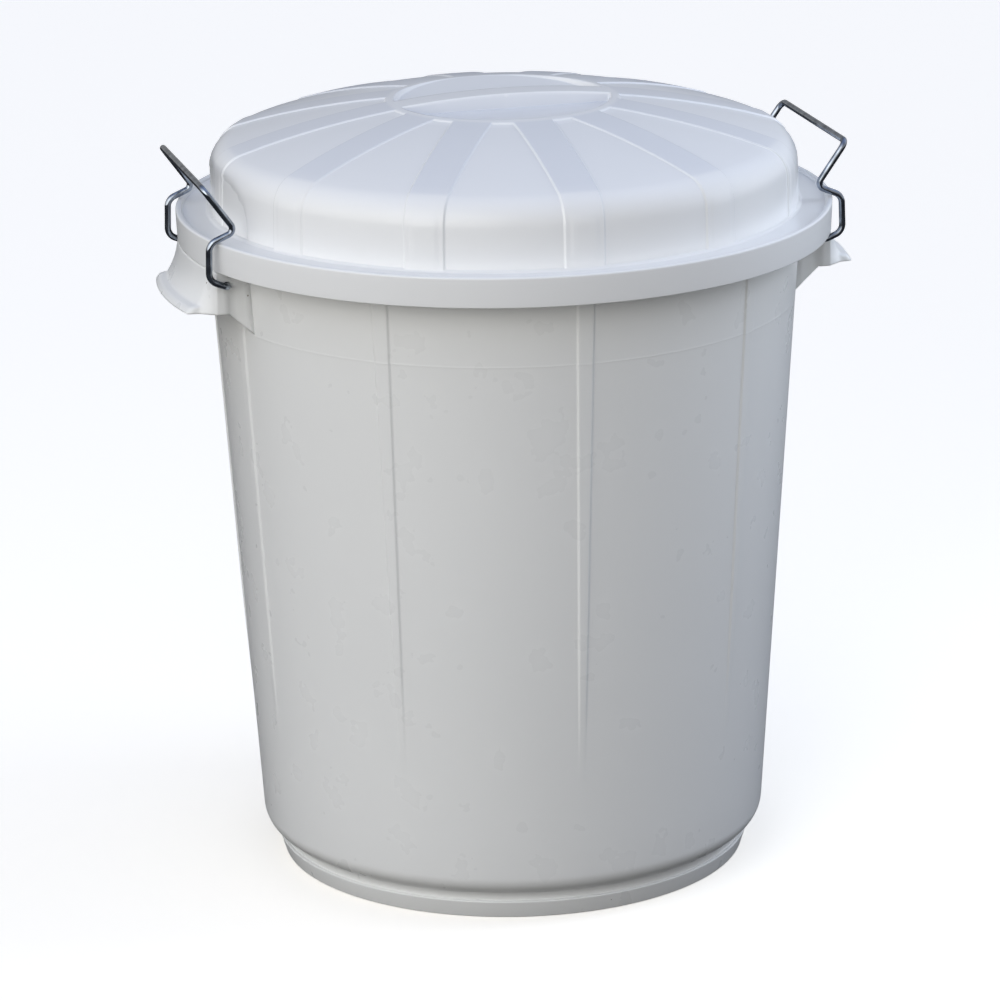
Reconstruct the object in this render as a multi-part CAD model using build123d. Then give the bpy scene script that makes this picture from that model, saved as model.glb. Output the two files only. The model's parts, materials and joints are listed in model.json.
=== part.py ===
from build123d import *

import math
import os

# A tapered plastic drum with a domed lid. Two bent-wire clips pivot in the side walls of the
# drum's two hollow handles and hook over the lid's lip.
# Millimetres, +Z up, origin on the floor under the drum's axis. The handles are on -X and +X,
# and the front is -Y.

# ---- drum: driving sizes ----
RIM_HEIGHT = 469.2        # top of the rim flange above the floor
TOP_RADIUS = 208.2        # outside of the wall at the rim
BASE_RADIUS = 177.9       # outside of the wall carried down to the floor
WALL = 3.0                # drum wall
FLOOR_THICKNESS = 3.5     # drum floor
CORNER_RADIUS = 16.0      # outside of the bottom corner
FOOT_HEIGHT = 19.0        # underside of the drum's floor above the ground
FOOT_LEDGE = 13.0         # height of the foot ring's stepped part
FOOT_INSIDE = 162.5       # inside of the foot ring
FOOT_BASE_RADIUS = 165.6  # outside of the foot ring on the ground
FOOT_TOP_RADIUS = 169.6   # outside of the foot ring at its ledge
FOOT_NECK_RADIUS = 167.0  # groove between the ring and the bottom corner

# ---- rim flange, under the lid's skirt ----
FLANGE_REACH = 16.7       # from the wall's outside to the flange's edge
FLANGE_DEPTH = 13.7       # drop of the flange's turned-down edge
FLANGE_ROUND = 1.8        # radius on the flange's top edge

# ---- raised ribs on the drum's wall ----
RIB_ANGLES = (-78.0, -39.0, 0.0, 39.0, 78.0)  # from the front, repeated at the back
RIB_HEIGHT = 1.3
RIB_TOP_WIDTH = 12.5
RIB_FOOT_WIDTH = 3.6
RIB_START = 100.0         # lower end above the floor
RIB_RISE = 40.0           # length over which a rib grows to its full height
RIB_TIP = 0.1             # height of its lower end

# ---- handles ----
HANDLE_HALF_WIDTH = 63.5  # outside of the side walls from the handle's centre plane
HANDLE_WALL = 3.0
HANDLE_DROP = 46.0        # bottom of the handle below the rim
HANDLE_LIP_REACH = 15.6   # lip's outer edge beyond the lid's skirt
HANDLE_LIP_DEPTH = 5.0    # height of the lip's bead
HANDLE_FLARE = 4.3        # how far the skin has moved out at its middle height
HANDLE_TOP_GAP = 0.6      # under the lid's skirt
HANDLE_LIP_INSET = 12.0   # lip's ends inside the side walls, where the flare runs out
GUSSET_DROP = 17.5        # how far the gusset runs down the wall under the handle
GUSSET_INSET = 1.0        # gusset face behind the side wall's outer face
GUSSET_STEP = 1.0         # gusset's outer edge inside the pivot's axis
LIP_CHAMFER = 1.5         # height over which the bead runs out to the lip's edge

# ---- lid ----
SEAT_GAP = 0.4            # between the rim and the lid's seat
LID_WALL = 2.8
SKIRT_GAP = 1.7           # between the flange's edge and the skirt
SKIRT_WALL = 3.4
SKIRT_HEIGHT = 21.1       # lip's top to the skirt's bottom
SKIRT_TAPER = 0.9         # skirt is this much smaller at its bottom
SKIRT_THINNING = 0.6      # skirt's bottom edge is this much thinner than its wall
LIP_RISE = 2.5            # lip above the gutter floor
LIP_WALL = 4.4            # lip's thickness, from the skirt's face to the gutter
LIP_ROUND = 1.4
CROWN_INSET = 0.8         # crown wall inside the drum's wall, at the gutter
CROWN_HEIGHT = 79.1       # apex above the gutter floor
CROWN_SPHERE = 650.0      # radius of the shallow dome
CROWN_TAPER = 2.0         # crown wall leans in by this much over the whole height
CROWN_EDGE_DROP = 33.5    # apex down to where dome and wall would meet unrounded
SHOULDER_ROUND = 22.0
LOCATOR_DEPTH = 9.0       # locating rim, inside the drum's mouth
LOCATOR_GAP = 0.62        # between the locating rim's bottom and the drum's inside
LOCATOR_WALL = 2.4

# ---- raised bands on the lid ----
BAND_COUNT = 12
BAND_WIDTH = 27.6
BAND_HEIGHT = 1.0
BAND_INNER_RADIUS = 82.0  # bands run into a plain ring here

# ---- finger grip in the middle of the lid ----
GRIP_RADIUS = 75.5
GRIP_BAR_WIDTH = 22.0
GRIP_DEPTH = 10.5         # under the apex, beside the bar

# ---- wire clips ----
WIRE_RADIUS = 2.25
LEG_GAP = 4.25            # wire's side to the handle's side wall
PIVOT_CLEARANCE = 0.08    # radial, wire in its hole
PIVOT_INSIDE = 6.1        # pivot inside the skirt's face, in the leg's plane
PIVOT_DROP = 30.9         # pivot below the lip's top
PIVOT_STUB = 3.0          # wire end past the side wall's inner face
LEG_STANDOFF = 7.4        # upright part of the leg outside the skirt's face
LEG_FOOT_DROP = 25.4      # upright part's lower end below the lip's top
HOOK_RISE = 0.4           # upright part's upper end above the lip's top
HOOK_REACH = 12.0         # hook's inner end inside the skirt's face
HOOK_HEIGHT = 8.2         # hook's inner end above the lip's top
LEVER_REACH = 9.6         # cross bar outside the skirt's face
LEVER_HEIGHT = 38.6       # cross bar above the lip's top
WIRE_BENDS = (4.0, 8.0, 8.0, 4.5, 6.0)  # pivot, leg foot, hook outer, hook inner, lever corner

# ---- worked out from the driving sizes ----
FLANGE_RADIUS = TOP_RADIUS + FLANGE_REACH
SKIRT_INSIDE = FLANGE_RADIUS + SKIRT_GAP
SKIRT_RADIUS = SKIRT_INSIDE + SKIRT_WALL
SEAT_HEIGHT = RIM_HEIGHT + SEAT_GAP
GUTTER_HEIGHT = SEAT_HEIGHT + LID_WALL
LIP_TOP = GUTTER_HEIGHT + LIP_RISE
SKIRT_BOTTOM = LIP_TOP - SKIRT_HEIGHT
CROWN_RADIUS = TOP_RADIUS - CROWN_INSET
APEX = GUTTER_HEIGHT + CROWN_HEIGHT
HANDLE_TOP = SKIRT_BOTTOM - HANDLE_TOP_GAP
HANDLE_BOTTOM = RIM_HEIGHT - HANDLE_DROP
HANDLE_RADIUS = SKIRT_RADIUS + HANDLE_LIP_REACH
CLIP_HALF_SPAN = HANDLE_HALF_WIDTH + LEG_GAP + WIRE_RADIUS
SKIRT_FACE = math.sqrt(SKIRT_RADIUS**2 - CLIP_HALF_SPAN**2)
PIVOT_X = SKIRT_FACE - PIVOT_INSIDE
PIVOT_Z = LIP_TOP - PIVOT_DROP


def wall_radius(z):
    """Outside radius of the drum's tapered wall at height z."""
    return BASE_RADIUS + (TOP_RADIUS - BASE_RADIUS) * z / RIM_HEIGHT


def corner(shape, radius, z):
    """The corner of a half section nearest to a radius and a height."""
    return min(shape.vertices(), key=lambda v: math.hypot(v.X - radius, v.Z - z))


def turned(points, rounds=()):
    """A closed half section, with its named corners rounded, turned once about Z."""
    section = make_face(Polyline(*[(r, 0, z) for r, z in points], close=True))
    for radius, z, size in rounds:
        section = fillet(corner(section, radius, z), size)
    return revolve(section, Axis.Z, 360)


def foot_ring():
    """The ring that the drum stands on, stepped in under the bottom corner."""
    neck_top = FOOT_HEIGHT + FLOOR_THICKNESS / 2
    return turned(
        (
            (FOOT_INSIDE, 0),
            (FOOT_BASE_RADIUS, 0),
            (FOOT_TOP_RADIUS, FOOT_LEDGE),
            (FOOT_NECK_RADIUS, FOOT_LEDGE),
            (FOOT_NECK_RADIUS, neck_top),
            (FOOT_INSIDE, neck_top),
        )
    )


def drum_shell():
    """Floor, tapered wall and rim flange."""
    floor_top = FOOT_HEIGHT + FLOOR_THICKNESS
    flange_under = RIM_HEIGHT - WALL
    edge_inside = FLANGE_RADIUS - WALL
    edge_bottom = RIM_HEIGHT - FLANGE_DEPTH
    points = (
        (0, FOOT_HEIGHT),
        (wall_radius(FOOT_HEIGHT), FOOT_HEIGHT),
        (wall_radius(flange_under), flange_under),
        (edge_inside, flange_under),
        (edge_inside, edge_bottom),
        (FLANGE_RADIUS, edge_bottom),
        (FLANGE_RADIUS, RIM_HEIGHT),
        (TOP_RADIUS - WALL, RIM_HEIGHT),
        (wall_radius(floor_top) - WALL, floor_top),
        (0, floor_top),
    )
    rounds = (
        (wall_radius(FOOT_HEIGHT), FOOT_HEIGHT, CORNER_RADIUS),
        (wall_radius(floor_top) - WALL, floor_top, CORNER_RADIUS - WALL),
        (FLANGE_RADIUS, RIM_HEIGHT, FLANGE_ROUND),
    )
    return turned(points, rounds)


def wall_ribs():
    """Tapered upright ribs, wide under the rim and fading out low on the wall."""
    top = RIM_HEIGHT - WALL
    half_top = RIB_TOP_WIDTH / 2
    half_foot = RIB_FOOT_WIDTH / 2
    outline = Polyline(
        (-half_foot, 0, RIB_START),
        (half_foot, 0, RIB_START),
        (half_top, 0, top),
        (-half_top, 0, top),
        close=True,
    )
    blade = extrude(make_face(outline), FLANGE_RADIUS, dir=(0, -1, 0))
    skin = turned(
        (
            (wall_radius(RIB_START) - WALL / 2, RIB_START),
            (wall_radius(RIB_START) + RIB_TIP, RIB_START),
            (wall_radius(RIB_START + RIB_RISE) + RIB_HEIGHT, RIB_START + RIB_RISE),
            (wall_radius(top) + RIB_HEIGHT, top),
            (wall_radius(top) - WALL / 2, top),
        )
    )
    ribs = []
    for side in (0, 180):
        for angle in RIB_ANGLES:
            ribs += (skin & (Rot(0, 0, side + angle) * blade)).solids()
    return ribs


def handle_section(inset):
    """Half section of the handle between the wall and its flared skin, shrunk by a wall."""
    top = HANDLE_TOP - inset
    skin_top = SKIRT_RADIUS - SKIRT_TAPER - inset
    lip = HANDLE_RADIUS - inset * 2
    bead = HANDLE_BOTTOM + HANDLE_LIP_DEPTH
    root = wall_radius(HANDLE_BOTTOM) - WALL / 2
    middle = (HANDLE_TOP + bead) / 2
    skin = ThreePointArc(
        (skin_top, 0, top),
        (skin_top + HANDLE_FLARE, 0, middle),
        (lip - HANDLE_LIP_DEPTH, 0, bead + inset / 2),
    )
    rest = Polyline(
        (lip - HANDLE_LIP_DEPTH, 0, bead + inset / 2),
        (lip - inset / 2, 0, bead - LIP_CHAMFER),
        (lip - inset / 2, 0, HANDLE_BOTTOM - inset),
        (root, 0, HANDLE_BOTTOM - inset),
        (root, 0, top),
        (skin_top, 0, top),
    )
    return make_face(skin + rest)


def handle_block(inset):
    """Plan of the handle as a tall block: side walls, then ends that close in to the lip."""
    half = HANDLE_HALF_WIDTH - inset
    skin_top = SKIRT_RADIUS - SKIRT_TAPER
    shoulder = math.sqrt(skin_top**2 - HANDLE_HALF_WIDTH**2)
    lip_half = half - HANDLE_LIP_INSET
    plan = Polyline(
        (0, -half),
        (shoulder, -half),
        (HANDLE_RADIUS, -lip_half),
        (HANDLE_RADIUS, lip_half),
        (shoulder, half),
        (0, half),
        close=True,
    )
    return extrude(make_face(plan), RIM_HEIGHT)


def handle():
    """One hollow handle on +X: flared skin, side walls, gussets and pivot holes."""
    inner_half = HANDLE_HALF_WIDTH - HANDLE_WALL
    outer = revolve(handle_section(0), Axis.Z, 360) & handle_block(0)
    hollow = revolve(handle_section(HANDLE_WALL), Axis.Z, 360) & handle_block(HANDLE_WALL)
    shell = outer - hollow

    step_x = PIVOT_X - GUSSET_STEP
    tip_z = HANDLE_BOTTOM - GUSSET_DROP
    tip_x = math.sqrt(wall_radius(tip_z) ** 2 - HANDLE_HALF_WIDTH**2)
    gusset_outline = Polyline(
        (tip_x - WALL / 2, 0, HANDLE_TOP),
        (step_x, 0, HANDLE_TOP),
        (step_x, 0, HANDLE_BOTTOM),
        (tip_x, 0, tip_z),
        (tip_x - WALL / 2, 0, tip_z),
        close=True,
    )
    gusset_wall = HANDLE_WALL - GUSSET_INSET
    gusset = extrude(make_face(gusset_outline), gusset_wall, dir=(0, 1, 0))
    for place in (inner_half, -inner_half - gusset_wall):
        shell += Pos(0, place, 0) * gusset

    link_bottom = HANDLE_TOP - HANDLE_WALL
    link_top = RIM_HEIGHT - FLANGE_DEPTH + 1
    link = turned(
        (
            (FLANGE_RADIUS - WALL, link_bottom),
            (FLANGE_RADIUS, link_bottom),
            (FLANGE_RADIUS, link_top),
            (FLANGE_RADIUS - WALL, link_top),
        )
    )
    shell += link & handle_block(0)

    hole = Cylinder(WIRE_RADIUS + PIVOT_CLEARANCE, 4 * HANDLE_HALF_WIDTH)
    return shell - Pos(PIVOT_X, 0, PIVOT_Z) * Rot(90, 0, 0) * hole


def drum_body():
    """The drum's one moulding: shell, ribs and both handles, with a clean inside."""
    inside = turned(
        (
            (0, RIM_HEIGHT / 2),
            (wall_radius(RIM_HEIGHT / 2) - WALL, RIM_HEIGHT / 2),
            (TOP_RADIUS - WALL, RIM_HEIGHT),
            (0, RIM_HEIGHT),
        )
    )
    grip = handle() - inside
    body = drum_shell() + foot_ring() + wall_ribs()
    body += grip
    body += mirror(grip, Plane.YZ)
    return body


def crown_radius(z):
    """Outside radius of the lid's crown wall at height z."""
    return CROWN_RADIUS - CROWN_TAPER * (z - GUTTER_HEIGHT) / CROWN_HEIGHT


def crown_section(inset, bottom):
    """Half section of the solid crown: a shallow dome, a rounded shoulder and a wall."""
    centre = APEX - CROWN_SPHERE
    sphere = CROWN_SPHERE - inset
    edge_r = crown_radius(APEX - CROWN_EDGE_DROP) - inset
    edge_z = centre + math.sqrt(sphere**2 - edge_r**2)
    middle_r = edge_r / 2
    middle_z = centre + math.sqrt(sphere**2 - middle_r**2)
    dome = ThreePointArc(
        (0, 0, centre + sphere),
        (middle_r, 0, middle_z),
        (edge_r, 0, edge_z),
    )
    rest = Polyline(
        (edge_r, 0, edge_z),
        (crown_radius(bottom) - inset, 0, bottom),
        (0, 0, bottom),
        (0, 0, centre + sphere),
    )
    section = make_face(dome + rest)
    return fillet(corner(section, edge_r, edge_z), SHOULDER_ROUND - inset)


def crown(inset, bottom):
    """The solid crown, shrunk by an inset."""
    return revolve(crown_section(inset, bottom), Axis.Z, 360)


def grip_pocket(grow):
    """The two finger pockets beside the grip bar, or their outside when grown by a wall."""
    radius = GRIP_RADIUS + grow
    bar_half = GRIP_BAR_WIDTH / 2 - grow
    edge_z = APEX - CROWN_SPHERE + math.sqrt(CROWN_SPHERE**2 - GRIP_RADIUS**2) - grow
    deep_z = APEX - GRIP_DEPTH - grow
    slope = (edge_z - deep_z) / (GRIP_RADIUS - GRIP_BAR_WIDTH / 2)
    outline = Polyline(
        (0, bar_half, deep_z),
        (0, radius, deep_z + slope * (radius - bar_half)),
        (0, radius, APEX + 20),
        (0, bar_half, APEX + 20),
        close=True,
    )
    side = extrude(make_face(outline), radius, dir=(1, 0, 0), both=True)
    side &= Pos(0, 0, APEX) * Cylinder(radius, 4 * GRIP_DEPTH)
    return side + Rot(0, 0, 180) * side


def band_gaps():
    """What is sunk between the raised bands, from the grip's ring down to the gutter."""
    layer = crown(-1, GUTTER_HEIGHT) - crown(BAND_HEIGHT, GUTTER_HEIGHT)
    layer -= Pos(0, 0, APEX) * Cylinder(BAND_INNER_RADIUS, 3 * CROWN_HEIGHT)
    bar = Box(3 * TOP_RADIUS, BAND_WIDTH, 3 * CROWN_HEIGHT)
    for number in range(BAND_COUNT // 2):
        angle = 90 + number * 360 / BAND_COUNT
        layer -= Pos(0, 0, APEX) * Rot(0, 0, angle) * bar
    return layer.solids()


def lid():
    """The lid's one moulding: crown, gutter, lip, skirt and locating rim."""
    locator_bottom = SEAT_HEIGHT - LOCATOR_DEPTH
    locator = wall_radius(locator_bottom) - WALL - LOCATOR_GAP
    skirt_bottom = SKIRT_RADIUS - SKIRT_TAPER
    points = (
        (locator - LOCATOR_WALL, GUTTER_HEIGHT),
        (SKIRT_RADIUS - LIP_WALL, GUTTER_HEIGHT),
        (SKIRT_RADIUS - LIP_WALL, LIP_TOP),
        (SKIRT_RADIUS, LIP_TOP),
        (skirt_bottom, SKIRT_BOTTOM),
        (skirt_bottom - SKIRT_WALL + SKIRT_THINNING, SKIRT_BOTTOM),
        (SKIRT_INSIDE, SEAT_HEIGHT),
        (locator, SEAT_HEIGHT),
        (locator, locator_bottom),
        (locator - LOCATOR_WALL, locator_bottom),
    )
    rounds = (
        (SKIRT_RADIUS, LIP_TOP, LIP_ROUND),
        (SKIRT_RADIUS - LIP_WALL, LIP_TOP, LIP_ROUND),
    )
    rim = turned(points, rounds)
    shape = crown(0, GUTTER_HEIGHT) - band_gaps()
    shape -= crown(LID_WALL, SEAT_HEIGHT - LID_WALL)
    shape += grip_pocket(LID_WALL) & crown(0.5, GUTTER_HEIGHT)
    shape -= grip_pocket(0)
    return shape + rim


def clip():
    """One wire clip on +X: pivot end, upright leg, hook over the lip, lever and cross bar."""
    leg = (
        (PIVOT_X, PIVOT_Z),
        (SKIRT_FACE + LEG_STANDOFF, LIP_TOP - LEG_FOOT_DROP),
        (SKIRT_FACE + LEG_STANDOFF - 0.8, LIP_TOP + HOOK_RISE),
        (SKIRT_FACE - HOOK_REACH, LIP_TOP + HOOK_HEIGHT),
        (SKIRT_FACE + LEVER_REACH, LIP_TOP + LEVER_HEIGHT),
    )
    end_y = HANDLE_HALF_WIDTH - HANDLE_WALL - PIVOT_STUB
    near = [(PIVOT_X, end_y, PIVOT_Z)]
    near += [(x, CLIP_HALF_SPAN, z) for x, z in leg]
    far = [(x, -y, z) for x, y, z in reversed(near)]
    bends = list(WIRE_BENDS) + list(reversed(WIRE_BENDS))
    path = FilletPolyline(*near, *far, radius=bends)
    start = Plane(origin=near[0], z_dir=(0, 1, 0))
    return sweep(start * Circle(WIRE_RADIUS), path=path)


right = clip()
parts = {
    "drum_body": drum_body(),
    "lid": lid(),
    "clip_right": right,
    "clip_left": Rot(0, 0, 180) * right,
}

os.makedirs("parts", exist_ok=True)
for name, shape in parts.items():
    export_step(shape, f"parts/{name}.step")
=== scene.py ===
import json
import math

import bmesh
import bpy
import numpy as np
from mathutils import Matrix, Vector


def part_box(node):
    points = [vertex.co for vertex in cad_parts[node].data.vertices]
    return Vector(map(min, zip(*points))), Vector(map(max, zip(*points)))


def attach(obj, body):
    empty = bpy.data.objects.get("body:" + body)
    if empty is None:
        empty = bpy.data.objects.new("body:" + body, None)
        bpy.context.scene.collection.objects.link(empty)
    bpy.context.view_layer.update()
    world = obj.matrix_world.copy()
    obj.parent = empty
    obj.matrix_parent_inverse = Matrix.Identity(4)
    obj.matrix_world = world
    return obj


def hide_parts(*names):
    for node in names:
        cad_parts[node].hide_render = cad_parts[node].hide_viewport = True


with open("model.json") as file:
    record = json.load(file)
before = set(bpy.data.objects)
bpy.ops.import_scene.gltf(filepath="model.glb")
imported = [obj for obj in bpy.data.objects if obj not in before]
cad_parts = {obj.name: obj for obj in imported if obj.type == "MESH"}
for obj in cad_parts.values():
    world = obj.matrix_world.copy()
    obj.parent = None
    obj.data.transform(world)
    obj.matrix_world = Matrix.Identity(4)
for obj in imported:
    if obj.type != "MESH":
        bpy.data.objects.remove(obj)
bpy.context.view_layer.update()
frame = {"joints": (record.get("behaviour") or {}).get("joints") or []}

# ---- the drum -------------------------------------------------------------------------------
# One injection moulding in white polypropylene: floor, tapered wall, foot ring and rim flange.
# Raised ribs run up the wall, and the mould's parting line leaves a fine bead round it.
# All profile sizes are millimetres; MM turns them into the frame's metres.

MM = 0.001
drum_low, drum_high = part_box("drum_body")
RIM = drum_high.z / MM
FLANGE_RADIUS = drum_high.y / MM
HANDLE_REACH = drum_high.x / MM
DRUM_WALL = 3.0
WALL_TOP_RADIUS = 208.2
WALL_FOOT_RADIUS = 177.9
FLOOR_UNDER = 19.0
FLOOR_WALL = 3.5
CORNER_ROUND = 16.0
FOOT_INSIDE = 162.5
FOOT_OUTSIDE = 165.6
FOOT_LEDGE = 169.6
FOOT_LEDGE_HEIGHT = 13
FOOT_NECK = 167.0
FLANGE_WALL = 2.6
FLANGE_DROP = 13.7
FLOOR_MIDDLE = 2.0
RIB_ANGLES = [math.radians(a) for a in (-78, -39, 0, 39, 78, 102, 141, 180, 219, 258)]
RIB_HEIGHT = 1.15
RIB_HALF_TOP = 6.1
RIB_HALF_FOOT = 1.9
RIB_START = 96.0
RIB_FADE = 115.0
PARTING_HEIGHT = 406.6
PARTING_RISE = 0.13
PARTING_WIDTH = 0.5


def rounded(corners, gap=9.0):
    """An outline of (radius, height) points, with arcs at the corners that give a rounding."""
    points = []
    count = len(corners)
    for number, corner in enumerate(corners):
        here = np.array(corner[:2], float)
        size = corner[2] if len(corner) > 2 else 0.0
        if size == 0 or number in (0, count - 1):
            points.append(here)
            continue
        to_last = np.array(corners[number - 1][:2], float) - here
        to_next = np.array(corners[number + 1][:2], float) - here
        to_last /= np.linalg.norm(to_last)
        to_next /= np.linalg.norm(to_next)
        half = math.acos(np.clip(to_last @ to_next, -1, 1)) / 2
        middle = (to_last + to_next) / np.linalg.norm(to_last + to_next)
        centre = here + middle * size / math.sin(half)
        first = here + to_last * size / math.tan(half) - centre
        last = here + to_next * size / math.tan(half) - centre
        turn = math.pi - 2 * half
        steps = max(4, int(math.degrees(turn) / 9))
        for step in range(steps + 1):
            share = step / steps
            arm = first * math.sin((1 - share) * turn) + last * math.sin(share * turn)
            points.append(centre + arm / math.sin(turn))
    filled = [points[0]]
    for point in points[1:]:
        pieces = max(1, int(np.linalg.norm(point - filled[-1]) / gap))
        start = filled[-1]
        filled += [start + (point - start) * (k + 1) / pieces for k in range(pieces)]
    return np.array(filled)


def ramp(value, start, end):
    """Smooth step from 0 at start to 1 at end, which may run downwards."""
    share = np.clip((np.asarray(value, float) - start) / (end - start), 0, 1)
    return share * share * (3 - 2 * share)


def outline_normals(outline):
    """Unit normals of an outline, to the left of its direction of travel."""
    along = np.gradient(outline, axis=0)
    along /= np.linalg.norm(along, axis=1)[:, None] + 1e-12
    return np.stack([-along[:, 1], along[:, 0]], axis=1)


def finish_mesh(name, vertices, faces, material, body, slot, *nodes):
    """Makes the smooth-shaded object, and ties it to its body and CAD nodes. The slot is not used."""
    mesh = bpy.data.meshes.new(name)
    mesh.from_pydata([tuple(v) for v in np.asarray(vertices) * MM], [], faces)
    mesh.validate()
    piece = bpy.data.objects.new(name, mesh)
    bpy.context.scene.collection.objects.link(piece)
    tidy = bmesh.new()
    tidy.from_mesh(mesh)
    bmesh.ops.remove_doubles(tidy, verts=tidy.verts, dist=1e-6)
    bmesh.ops.dissolve_degenerate(tidy, edges=tidy.edges, dist=1e-7)
    bmesh.ops.recalc_face_normals(tidy, faces=tidy.faces)
    tidy.to_mesh(mesh)
    tidy.free()
    mesh.polygons.foreach_set("use_smooth", [True] * len(mesh.polygons))
    mesh.materials.append(material)
    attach(piece, body)
    if nodes:
        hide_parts(*nodes)
    return piece


def ring_faces(rings, size):
    """Faces that join closed rings, each with the same number of points, into a tube."""
    faces = []
    for start in range(0, (rings - 1) * size, size):
        for step in range(size):
            after = (step + 1) % size
            faces.append((start + step, start + after, start + size + after, start + size + step))
    return faces


def turned_skin(radius, height, angle):
    """Points and faces of a closed skin round the axis: rows follow an outline between poles."""
    rows, columns = radius.shape
    points = np.stack([radius * np.sin(angle), -radius * np.cos(angle), height], axis=2)
    faces = ring_faces(rows, columns)
    pole = rows * columns
    last_row = pole - columns
    for step in range(columns):
        after = (step + 1) % columns
        faces.append((pole, after, step))
        faces.append((pole + 1, last_row + step, last_row + after))
    poles = [(0, 0, height[0].mean()), (0, 0, height[-1].mean())]
    return np.vstack([points.reshape(-1, 3), poles]), faces


def angle_row(radius, centres, offsets, between):
    """Angles round the axis: set distances beside each centre line, and even steps between."""
    row = []
    sides = np.arcsin(np.clip(np.array(offsets) / radius, -1, 1))
    turned = list(centres[1:]) + [centres[0] + 2 * math.pi]
    for centre, following in zip(centres, turned):
        row += list(centre + sides)
        row += list(np.linspace(centre + sides[-1], following + sides[0], between + 2)[1:-1])
    return np.array(row)


def drum_wall(height):
    """Outside radius of the drum's wall at a height."""
    return WALL_FOOT_RADIUS + (WALL_TOP_RADIUS - WALL_FOOT_RADIUS) * height / RIM


inner_floor = FLOOR_UNDER + FLOOR_WALL
flange_under = RIM - DRUM_WALL
wall_lean = math.atan2(WALL_TOP_RADIUS - WALL_FOOT_RADIUS, RIM)
corner_r = drum_wall(FLOOR_UNDER + CORNER_ROUND) - CORNER_ROUND
corner_arc = [
    (corner_r + CORNER_ROUND * math.cos(a), FLOOR_UNDER + CORNER_ROUND + CORNER_ROUND * math.sin(a))
    for a in np.linspace(math.radians(-75), -wall_lean, 12)
]
foot = [(FLOOR_MIDDLE, FLOOR_UNDER), (FOOT_INSIDE, FLOOR_UNDER, 1.5), (FOOT_INSIDE, 0, 1.0)]
foot += [(FOOT_OUTSIDE, 0, 1.2), (FOOT_LEDGE, FOOT_LEDGE_HEIGHT, 0.9)]
foot += [(FOOT_NECK, FOOT_LEDGE_HEIGHT, 0.4), (FOOT_NECK, corner_arc[0][1] - 0.5)]
wall_rows = [60, 80, RIB_START, 100, 105, 115, 130, 160, 200, 240, 280, 320, 360, 395]
wall_rows += [PARTING_HEIGHT + offset for offset in (-1.4, -0.7, -0.3, 0, 0.3, 0.7, 1.4)]
wall_rows += [420, 440, 455]
wall_line = [(drum_wall(z), z) for z in wall_rows]
flange_inside = FLANGE_RADIUS - FLANGE_WALL
flange_foot = RIM - FLANGE_DROP
rim_line = [(drum_wall(flange_under), flange_under, 1.5)]
rim_line += [(flange_inside, flange_under, 1.2), (flange_inside, flange_foot, 0.8)]
rim_line += [(FLANGE_RADIUS, flange_foot, 0.8), (FLANGE_RADIUS, RIM, 1.8)]
rim_line += [(WALL_TOP_RADIUS - DRUM_WALL, RIM, 1.2)]
inner_line = [(drum_wall(inner_floor) - DRUM_WALL, inner_floor, CORNER_ROUND - DRUM_WALL)]
inner_line += [(FLOOR_MIDDLE, inner_floor)]
drum_outline = rounded(foot + corner_arc + wall_line + rim_line + inner_line, gap=14)
drum_normals = outline_normals(drum_outline)

rib_edge = np.array([-1.3, -0.75, -0.35, 0.0, 0.35, 0.75, 1.3])
RIB_BETWEEN = 11
FAR_FROM_RIB = 99.0
rib_share = np.clip((drum_outline[:, 1] - RIB_START) / (flange_under - RIB_START), 0, 1)
rib_half = RIB_HALF_FOOT + (RIB_HALF_TOP - RIB_HALF_FOOT) * rib_share
drum_angle = []
rib_side = []
for (radius, height), half in zip(drum_outline, rib_half):
    reach = max(radius, 30)
    offsets = list(-half + rib_edge) + [0] + list(half + rib_edge)
    drum_angle.append(angle_row(reach, RIB_ANGLES, offsets, RIB_BETWEEN))
    side = [abs(offset) - half for offset in offsets] + [FAR_FROM_RIB] * RIB_BETWEEN
    rib_side.append(side * len(RIB_ANGLES))
drum_angle = np.array(drum_angle)
rib_side = np.array(rib_side)
outside = np.abs(drum_outline[:, 0] - drum_wall(drum_outline[:, 1])) < 0.3
fade = ramp(drum_outline[:, 1], RIB_START, RIB_START + RIB_FADE) * outside
raised = RIB_HEIGHT * ramp(rib_side, 0.9, -0.9) * fade[:, None]
from_parting = (drum_outline[:, 1] - PARTING_HEIGHT) / PARTING_WIDTH
bead = PARTING_RISE * np.exp(-(from_parting**2)) * outside
raised = np.maximum(raised, 0) + bead[:, None]
# the outline runs up the outside, so its outward normal is on the right of the travel
drum_radius = drum_outline[:, :1] - drum_normals[:, :1] * raised
drum_height = drum_outline[:, 1:] - drum_normals[:, 1:] * raised
drum_points, drum_faces = turned_skin(drum_radius, drum_height, drum_angle)


def socket(shader, name, value):
    """Sets one input of a node."""
    shader.inputs[name].default_value = value


def effect_group(name, inputs, outputs):
    """An empty node group with named sockets, and its two end nodes."""
    group = bpy.data.node_groups.new(name, "ShaderNodeTree")
    for title, kind, value in inputs:
        entry = group.interface.new_socket(title, in_out="INPUT", socket_type=f"NodeSocket{kind}")
        if value is not None:
            entry.default_value = value
    for title, kind in outputs:
        group.interface.new_socket(title, in_out="OUTPUT", socket_type=f"NodeSocket{kind}")
    return group, group.nodes.new("NodeGroupInput"), group.nodes.new("NodeGroupOutput")


def noise(group, start, scale, detail, roughness=0.5):
    """A noise texture that follows the group's Position, at a Scale socket or a fixed scale."""
    texture = group.nodes.new("ShaderNodeTexNoise")
    socket(texture, "Detail", detail)
    socket(texture, "Roughness", roughness)
    group.links.new(start.outputs["Position"], texture.inputs["Vector"])
    if isinstance(scale, str):
        group.links.new(start.outputs[scale], texture.inputs["Scale"])
    else:
        socket(texture, "Scale", scale)
    return texture.outputs["Fac"]


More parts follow.
